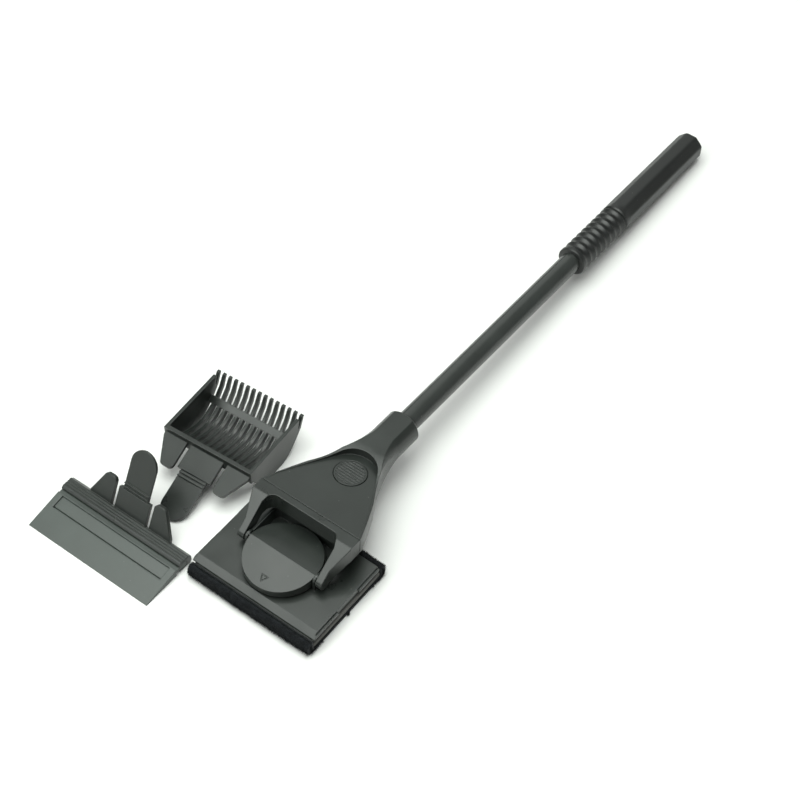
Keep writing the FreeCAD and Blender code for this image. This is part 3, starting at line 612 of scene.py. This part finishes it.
# ------------------------------------------------------------------ sub-assemblies
@dataclass
class Grip:
    """Moulded grip: a ribbed round collar that turns into an eight-sided hand piece."""

    tilt: float = math.radians(2.99)
    collar: float = 46.0 * MM
    collar_radius: float = 8.65 * MM
    half_across: float = 8.25 * MM
    tube_radius: float = 6.0 * MM
    lip: float = 0.8 * MM
    blend: float = 5.0 * MM
    corner_power: float = 26.0
    rib_power: float = 0.8
    rib_stop: float = 1.0 * MM
    end_share: float = 0.1
    end_round: float = 2.6 * MM
    rib_pitch: float = 5.0 * MM
    rib_depth: float = 0.9 * MM
    mouth: float = 2.6 * MM
    around: int = 160
    along: int = 520

    def radius(self, along: np.ndarray, angle: np.ndarray, length: float) -> np.ndarray:
        """Distance from the axis.

        The collar is a circle less a smooth wave of ribs.  The hand piece is an octagon whose
        corners are eased by a high power sum over its four facet pairs.  A short smooth step joins
        them, and a quarter circle draws the last stretch in.
        """
        facets = [np.abs(np.cos(angle - k * math.pi / 4)) for k in range(4)]
        power = self.corner_power
        octagon = self.half_across / np.sum([f**power for f in facets], 0) ** (1 / power)
        phase = (along - self.mouth) / self.rib_pitch
        wave = 0.5 - 0.5 * np.cos(2 * math.pi * phase)
        ribbed = (along > self.mouth) & (along < self.collar - self.rib_stop)
        rib = np.where(ribbed, self.rib_depth * wave**self.rib_power, 0.0)
        collar = self.collar_radius - rib
        collar = collar - self.lip * np.clip(1 - along / self.lip, 0, 1) ** 2
        turn = np.clip((along - self.collar) / self.blend, 0, 1)
        turn = turn * turn * (3 - 2 * turn)
        body = collar * (1 - turn) + octagon * turn
        left = np.clip((length - along) / self.end_round, 0, 1)
        return body - self.end_round * (1 - np.sqrt(np.clip(1 - (1 - left) ** 2, 0, 1)))

    def build(self, finishes: Finishes) -> bpy.types.Object:
        """Skins the surface in the node's place and dresses it.

        Each point is a start point, plus the distance along the tilted axis, plus the radius
        turned round that axis.  The rings crowd together near the far end, by a quarter sine.
        """
        low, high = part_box("grip")
        tube_low, tube_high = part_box("handle_tube")
        axis = np.array([0.0, math.cos(self.tilt), -math.sin(self.tilt)])
        lift = np.array([0.0, math.sin(self.tilt), math.cos(self.tilt)])
        side = np.array([1.0, 0.0, 0.0])
        sine, cosine = math.sin(self.tilt), math.cos(self.tilt)
        length = (high.y - low.y - 2 * self.collar_radius * sine) / cosine
        # the axis passes through the middle of the tube's far end
        middle = np.array([
            (low.x + high.x) / 2, tube_high.y - self.tube_radius * sine,
            tube_low.z + self.tube_radius * cosine,
        ])
        start = middle - axis * ((middle[1] - low.y) / cosine - self.collar_radius * sine)
        v = np.linspace(0, 1, self.along)
        share = self.end_share
        late = 1 - share
        v = np.where(v > late, late + share * np.sin((v - late) / share * math.pi / 2), v) * length
        u = np.linspace(0, 2 * math.pi, self.around, endpoint=False) + math.pi / 8
        along, angle = np.meshgrid(v, u, indexing="ij")
        out = self.radius(along, angle, length)
        rings = (
            start + along[..., None] * axis
            + (out * np.cos(angle))[..., None] * side + (out * np.sin(angle))[..., None] * lift
        )
        piece = closed_skin("grip_body", rings)
        dress(piece, Slot.GRIP, finishes, Body.HANDLE, "grip")
        return piece


@dataclass
class FleecePad:
    """Foam block with fleece wrapped round it, and the pile that stands up from the fleece."""

    seed: int = 7
    across: int = 240
    around: int = 150
    wobble: float = 0.5 * MM
    open_turn: float = 0.957
    side_power: float = 0.12
    corner_power: float = 0.36
    end_gap: float = 0.4 * MM
    # the fleece's ripple; wave_total is 1 + 1/2 + ... + 1/6, its tallest possible sum
    waves: int = 6
    first_wave: float = 150.0
    wave_growth: float = 1.9
    wave_skew: float = 0.8
    wave_total: float = 2.45
    bulge: float = 1.2
    rise: float = 0.35
    still: float = 0.6 * MM
    floor_gap: float = 0.05 * MM
    top_gap: float = 0.02 * MM
    # the foam block
    foam_around: int = 96
    foam_across: int = 60
    foam_side_power: float = 0.1
    foam_corner_power: float = 0.3
    foam_draw: float = 0.02
    foam_draw_power: int = 14
    # the pile; fibre_turns are the three corners of a fibre's foot, thirds of a turn apart
    fibres: int = 42000
    fibre_long: float = 1.5 * MM
    fibre_wide: float = 0.05 * MM
    fibre_turns: tuple[float, ...] = (0, 2.09, 4.19)
    fibre_floor: float = 0.02 * MM
    root_low: float = 0.4 * MM
    root_facing: float = -0.5
    root_spread: float = 0.12 * MM
    lean_spread: float = 0.55
    shortest: float = 0.35
    tip_over: float = 0.5 * MM

    def ripple(self, x: np.ndarray, y: np.ndarray) -> np.ndarray:
        """Smooth uneven waves, a sum of sines of falling size with seeded phases, from -1 to 1."""
        rng = np.random.default_rng(self.seed)
        total = np.zeros_like(x)
        for octave in range(1, self.waves + 1):
            phase = rng.uniform(0, 2 * math.pi, 2)
            turn = rng.uniform(0, math.pi)
            wave = self.first_wave * self.wave_growth**octave
            total += np.sin((x * math.cos(turn) + y * math.sin(turn)) * wave + phase[0]) * np.cos(
                (y * math.cos(turn) - x * math.sin(turn)) * wave * self.wave_skew + phase[1]
            ) / octave
        return total / self.wave_total

    def section(self, low: Vector, high: Vector) -> tuple[np.ndarray, np.ndarray]:
        """Outer side outline of the wrap, from its top front edge, underneath, to its top back edge.

        It is part of a superellipse: nearly straight sides with rounded corners.

        Returns:
            The y and z of points along the outline.
        """
        turn = np.linspace(math.pi - self.open_turn, 2 * math.pi + self.open_turn, self.around)
        half_y, half_z = (high.y - low.y) / 2 - self.wobble, (high.z - low.z) / 2 - self.wobble / 2
        cos, sin = np.cos(turn), np.sin(turn)
        y = (low.y + high.y) / 2 + half_y * np.sign(cos) * np.abs(cos) ** self.side_power
        z = (low.z + high.z) / 2 + half_z * np.sign(sin) * np.abs(sin) ** self.corner_power
        return y, z

    def fleece(self, finishes: Finishes) -> bpy.types.Object:
        """The fleece: a thick, uneven sheet wrapped under the foam and up its front and back.

        The outer face is the section swept straight across.  The ripple is added outwards, and
        upwards too above the bottom, with the height held between the node's bottom and top.  The
        inner face is the same sweep held to the foam's front, back and bottom.
        """
        low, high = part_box("fleece_wrap")
        foam_low, foam_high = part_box("foam_core")
        y, z = self.section(low, high)
        span = np.linspace(low.x + self.end_gap, high.x - self.end_gap, self.across)
        x = np.repeat(span[:, None], self.around, 1)
        y, z = np.broadcast_to(y, x.shape).copy(), np.broadcast_to(z, x.shape).copy()
        inner = np.stack([
            x, np.clip(y, foam_low.y, foam_high.y), np.maximum(z, foam_low.z),
        ], -1)
        rough = self.ripple(x, y + z) * self.wobble
        y += rough * np.sign(y - (low.y + high.y) / 2) * self.bulge
        lifted = np.where(z > low.z + self.still, z + rough * self.rise, z)
        z = np.clip(lifted, low.z + self.floor_gap, high.z - self.top_gap)
        piece = thick_sheet("fleece_cover", np.stack([x, y, z], -1), inner)
        dress(piece, Slot.FLEECE, finishes, Body.SOLE, "fleece_wrap")
        return piece

    def foam(self, finishes: Finishes) -> bpy.types.Object:
        """The foam block.

        A superellipse section, flat-sided with eased edges, swept straight across.  Near the two
        ends it shrinks by a small share times a high power of the distance from the middle.
        """
        low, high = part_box("foam_core")
        turn = np.linspace(0, 2 * math.pi, self.foam_around, endpoint=False)
        cos, sin = np.cos(turn), np.sin(turn)
        middle, half = (low + high) / 2, (high - low) / 2
        y = middle.y + half.y * np.sign(cos) * np.abs(cos) ** self.foam_side_power
        z = middle.z + half.z * np.sign(sin) * np.abs(sin) ** self.foam_corner_power
        span = np.linspace(-1, 1, self.foam_across)
        draw = 1 - self.foam_draw * np.abs(span) ** self.foam_draw_power
        x = middle.x + half.x * span
        rings = np.stack([
            np.repeat(x[:, None], self.foam_around, 1),
            middle.y + (y - middle.y)[None] * draw[:, None],
            middle.z + (z - middle.z)[None] * draw[:, None],
        ], -1)
        piece = closed_skin("foam_block", rings)
        dress(piece, Slot.FOAM, finishes, Body.SOLE, "foam_core")
        return piece

    def pile(self, finishes: Finishes, skin: bpy.types.Object) -> bpy.types.Object:
        """Loose fibres: each a thin three-sided spike rooted on the fleece's outer face or rims.

        A root is the middle of a face, drawn by area, plus a random shift.  A tip is the root plus
        a random length along the face's normal tilted by a random vector.  The foot is three
        points on a small circle square to that line.  Feet and tips are kept off the floor.
        """
        rng = np.random.default_rng(self.seed + 1)
        mesh = skin.data
        centres = np.empty(len(mesh.polygons) * 3)
        normals = np.empty(len(mesh.polygons) * 3)
        areas = np.empty(len(mesh.polygons))
        mesh.polygons.foreach_get("center", centres)
        mesh.polygons.foreach_get("normal", normals)
        mesh.polygons.foreach_get("area", areas)
        centres, normals = centres.reshape(-1, 3), normals.reshape(-1, 3)
        low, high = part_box("fleece_wrap")
        showing = (centres[:, 2] > low.z + self.root_low) & (normals[:, 2] > self.root_facing)
        sheet = (self.across - 1) * (self.around - 1)
        showing[sheet:2 * sheet] = False
        weight = areas * showing
        pick = rng.choice(len(areas), self.fibres, p=weight / weight.sum())
        root = centres[pick] + rng.normal(0, self.root_spread, (self.fibres, 3))
        lean = normals[pick] + rng.normal(0, self.lean_spread, (self.fibres, 3))
        lean /= np.linalg.norm(lean, axis=1)[:, None]
        long = self.fibre_long * rng.uniform(self.shortest, 1.0, self.fibres)[:, None]
        tip = root + lean * long
        tip[:, 2] = np.clip(tip[:, 2], low.z + self.floor_gap, high.z + self.tip_over)
        side = np.cross(lean, rng.normal(0, 1, (self.fibres, 3)))
        side /= np.linalg.norm(side, axis=1)[:, None]
        other = np.cross(lean, side)
        wide = self.fibre_wide
        base = [
            root + wide * (side * math.cos(a) + other * math.sin(a)) for a in self.fibre_turns
        ]
        points = np.stack([*base, tip], 1).reshape(-1, 3)
        points[:, 2] = np.maximum(points[:, 2], low.z + self.fibre_floor)
        first = np.arange(self.fibres)[:, None] * 4
        faces = np.concatenate([
            first + np.array([[0, 1, 3]]), first + np.array([[1, 2, 3]]),
            first + np.array([[2, 0, 3]]), first + np.array([[0, 2, 1]]),
        ])
        pile = bpy.data.meshes.new("fleece_pile")
        pile.from_pydata(points.tolist(), [], faces.tolist())
        piece = bpy.data.objects.new("fleece_pile", pile)
        bpy.context.scene.collection.objects.link(piece)
        dress(piece, Slot.FLEECE, finishes, Body.SOLE)
        return piece

    def build(self, finishes: Finishes) -> None:
        """Makes the foam, the fleece and its pile."""
        self.foam(finishes)
        self.pile(finishes, self.fleece(finishes))


@dataclass
class Handle:
    """Tube with its plugs, the two-shell socket head with its screws, the button and the fork."""

    tube_edge: float = 0.12 * MM
    shell_edge: float = 0.35 * MM
    screw_edge: float = 0.06 * MM
    button_edge: float = 0.1 * MM
    fork_edge: float = 0.3 * MM

    def build(self, finishes: Finishes) -> None:
        """Builds the tube, plugs, shells, screws, button and fork."""
        for part in (
            Moulding("handle_tube", Body.HANDLE, Slot.TUBE, self.tube_edge),
            Moulding("tube_plug_head", Body.HANDLE),
            Moulding("tube_plug_grip", Body.HANDLE),
            Moulding("head_upper_shell", Body.HANDLE, edge=self.shell_edge),
            Moulding("head_lower_shell", Body.HANDLE, edge=self.shell_edge),
            Moulding("head_screws", Body.HANDLE, Slot.STEEL, self.screw_edge),
            Moulding("latch_button", Body.BUTTON, edge=self.button_edge),
            Moulding("swivel_fork", Body.FORK, edge=self.fork_edge),
        ):
            part.build(finishes)


@dataclass
class PadHead:
    """Cover, hinge pins, rocking disc with its spring, and the sole's carrier and clamps."""

    cover_edge: float = 0.25 * MM
    pin_edge: float = 0.1 * MM
    spring_edge: float = 0.02 * MM
    disc_edge: float = 0.18 * MM
    disc_sharp: float = math.radians(11)
    clamp_edge: float = 0.08 * MM

    def build(self, finishes: Finishes) -> None:
        """Builds the pad's hard pieces.  The disc's shallow ridge needs the lower angle."""
        for part in (
            Moulding("pad_cover", Body.PAD, edge=self.cover_edge),
            Moulding("hinge_pins", Body.PAD, Slot.STEEL, self.pin_edge),
            Moulding("disc_spring", Body.PAD, Slot.STEEL, self.spring_edge),
            Moulding("release_disc", Body.DISC, edge=self.disc_edge, sharp=self.disc_sharp),
            Moulding("pad_base", Body.SOLE),
            Moulding("fleece_clamps", Body.SOLE, edge=self.clamp_edge),
        ):
            part.build(finishes)


@dataclass
class LooseTools:
    """The scraper blade in its holder, and the plant rake."""

    holder_edge: float = 0.18 * MM
    blade_edge: float = 0.12 * MM
    rake_edge: float = 0.18 * MM

    def build(self, finishes: Finishes) -> None:
        """Builds the holder, the blade and the rake."""
        for part in (
            Moulding("blade_holder", Body.BLADE_HEAD, edge=self.holder_edge),
            Moulding("scraper_blade", Body.BLADE, Slot.BLADE, self.blade_edge),
            Moulding("rake", Body.RAKE, edge=self.rake_edge),
        ):
            part.build(finishes)


# ------------------------------------------------------------------ studio
@dataclass
class Studio:
    """Pale floor, soft lights and the camera."""

    lens: float = 83.95
    elevation: float = math.radians(51.03)
    azimuth: float = math.radians(37.33)
    roll: float = math.radians(-0.05)
    distance: float = 1005.18 * MM
    target: tuple[float, float, float] = (19.45 * MM, -38.74 * MM, 0.0)
    sensor: float = 36.0
    clip_near: float = 0.01
    clip_far: float = 50.0
    floor_half: float = 6.0
    floor_colour: tuple[float, float, float] = (0.8, 0.8, 0.79)
    floor_rough: float = 0.9
    light_colour: tuple[float, float, float] = (0.95, 1.0, 0.955)
    key_place: tuple[float, float, float] = (-0.03, -0.1, 1.2)
    key_size: float = 1.1
    key_power: float = 20.0
    fill_place: tuple[float, float, float] = (-0.395, -0.966, 0.73)
    fill_size: float = 0.6
    fill_power: float = 5.1
    back_place: tuple[float, float, float] = (-0.7, 0.91, 0.8)
    back_size: float = 1.0
    back_power: float = 2.5
    sky: float = 0.24

    def camera(self) -> None:
        """A long lens looking down at the set from the pad's side."""
        back = Vector((
            math.sin(self.azimuth) * math.cos(self.elevation),
            -math.cos(self.azimuth) * math.cos(self.elevation), math.sin(self.elevation),
        ))
        data = bpy.data.cameras.new("camera")
        data.lens = self.lens
        data.sensor_width = self.sensor
        data.clip_start, data.clip_end = self.clip_near, self.clip_far
        camera = bpy.data.objects.new("camera", data)
        bpy.context.scene.collection.objects.link(camera)
        turn = (-back).to_track_quat("-Z", "Y").to_matrix().to_4x4()
        place = Vector(self.target) + back * self.distance
        camera.matrix_world = Matrix.Translation(place) @ turn @ Matrix.Rotation(self.roll, 4, "Z")
        bpy.context.scene.camera = camera

    def lamp(self, name: str, place: tuple[float, float, float], size: float, power: float) -> None:
        """A square soft light aimed at the set."""
        data = bpy.data.lights.new(name, "AREA")
        data.size, data.energy, data.color = size, power, self.light_colour
        light = bpy.data.objects.new(name, data)
        bpy.context.scene.collection.objects.link(light)
        aim = Vector(self.target) - Vector(place)
        turn = aim.to_track_quat("-Z", "Y").to_matrix().to_4x4()
        light.matrix_world = Matrix.Translation(place) @ turn

    def floor(self) -> None:
        """A wide, plain, nearly white floor."""
        half = self.floor_half
        mesh = bpy.data.meshes.new("floor")
        corners = [(-half, -half, 0), (half, -half, 0), (half, half, 0), (-half, half, 0)]
        mesh.from_pydata(corners, [], [(0, 1, 2, 3)])
        floor = bpy.data.objects.new("floor", mesh)
        bpy.context.scene.collection.objects.link(floor)
        material, shader = blank_material("floor_paper")
        shader.inputs["Base Color"].default_value = (*self.floor_colour, 1.0)
        shader.inputs["Roughness"].default_value = self.floor_rough
        mesh.materials.append(material)

    def build(self) -> None:
        """Sets the studio up."""
        scene = bpy.context.scene
        scene.view_settings.view_transform = "Standard"
        world = bpy.data.worlds.new("studio")
        world.use_nodes = True
        background = world.node_tree.nodes["Background"]
        background.inputs["Color"].default_value = WHITE
        background.inputs["Strength"].default_value = self.sky
        scene.world = world
        self.floor()
        self.lamp("key", self.key_place, self.key_size, self.key_power)
        self.lamp("fill", self.fill_place, self.fill_size, self.fill_power)
        self.lamp("back", self.back_place, self.back_size, self.back_power)
        self.camera()


def main() -> None:
    """Builds the whole set, logging each piece's face count."""
    logging.basicConfig(level=logging.INFO, format="%(message)s")
    finishes = Finishes()
    Handle().build(finishes)
    Grip().build(finishes)
    PadHead().build(finishes)
    FleecePad().build(finishes)
    LooseTools().build(finishes)
    Studio().build()


if __name__ == "__main__":
    main()
